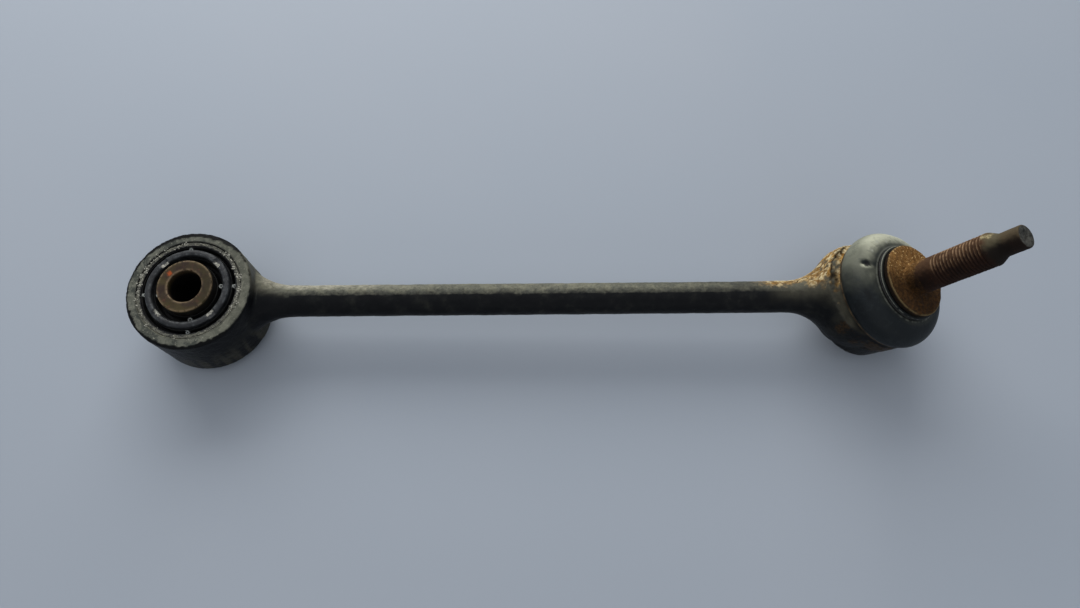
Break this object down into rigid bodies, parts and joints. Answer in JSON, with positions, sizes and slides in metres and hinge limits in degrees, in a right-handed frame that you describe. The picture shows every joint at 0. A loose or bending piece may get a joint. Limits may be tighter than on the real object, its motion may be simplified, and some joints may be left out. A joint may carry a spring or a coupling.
{
  "type": "stabilizer link",
  "caption": "Forged stabilizer link: a rod with a rubber-bushed eye at one end and a sealed, leaning ball joint with a threaded stud at the other.",
  "frame": {"origin": "centre of the bush's bore, half way along it", "axes": "+Z along the bore, to the side that the stud leans up to; +X along the rod, from the eye to the ball joint"},
  "size_m": [0.3089, 0.0456, 0.0757],
  "materials": {
    "forging": "worn dark paint with dust and rust flakes",
    "sleeve": "dull, dusty",
    "bush_rubber": "matte",
    "interleaf": "rubber skin, bare at the moulding notches",
    "core": "bronze-brown surface rust",
    "seat": "smooth, greased",
    "plate": "worn dark paint",
    "boot_ring": "rust-stained",
    "boot": "smooth, matte, dusty",
    "wire_ring": "dull",
    "stud": "rusted, rolled thread"
  },
  "bodies": {
    "link": {"link_forging": "forging", "bush_outer_sleeve": "sleeve", "bush_outer_rubber": "bush_rubber", "ball_seat": "seat", "housing_end_plate": "plate"},
    "bush_middle": {"bush_interleaf_ring": "interleaf", "bush_inner_rubber": "bush_rubber"},
    "bush_core": {"bush_inner_sleeve": "core"},
    "boot_base": {"boot_lower_ring": "boot_ring"},
    "boot_top": {"dust_boot": "boot", "boot_upper_ring": "wire_ring"},
    "stud": {"ball_stud": "stud"}
  },
  "joints": [
    {"name": "bush_tilt", "type": "hinge", "parent": "link", "child": "bush_middle", "pos_m": [0, 0, 0], "axis": [0, 1, 0], "range_deg": [-4, 4], "stiffness_Nm_per_rad": 60, "deforming": ["bush_outer_rubber"]},
    {"name": "bush_twist", "type": "hinge", "parent": "bush_middle", "child": "bush_core", "pos_m": [0, 0, 0], "axis": [0, 0, 1], "range_deg": [-20, 20], "stiffness_Nm_per_rad": 30, "deforming": ["bush_inner_rubber"]},
    {"name": "boot_swivel", "type": "hinge", "parent": "link", "child": "boot_base", "pos_m": [0.2555, 0, 0], "axis": [0.454, 0, 0.891], "continuous": true},
    {"name": "stud_tilt", "type": "hinge", "parent": "boot_base", "child": "boot_top", "pos_m": [0.2555, 0, 0], "axis": [0, 1, 0], "range_deg": [-20, 20], "deforming": ["dust_boot"]},
    {"name": "stud_spin", "type": "hinge", "parent": "boot_top", "child": "stud", "pos_m": [0.2555, 0, 0], "axis": [0.454, 0, 0.891], "continuous": true}
  ]
}
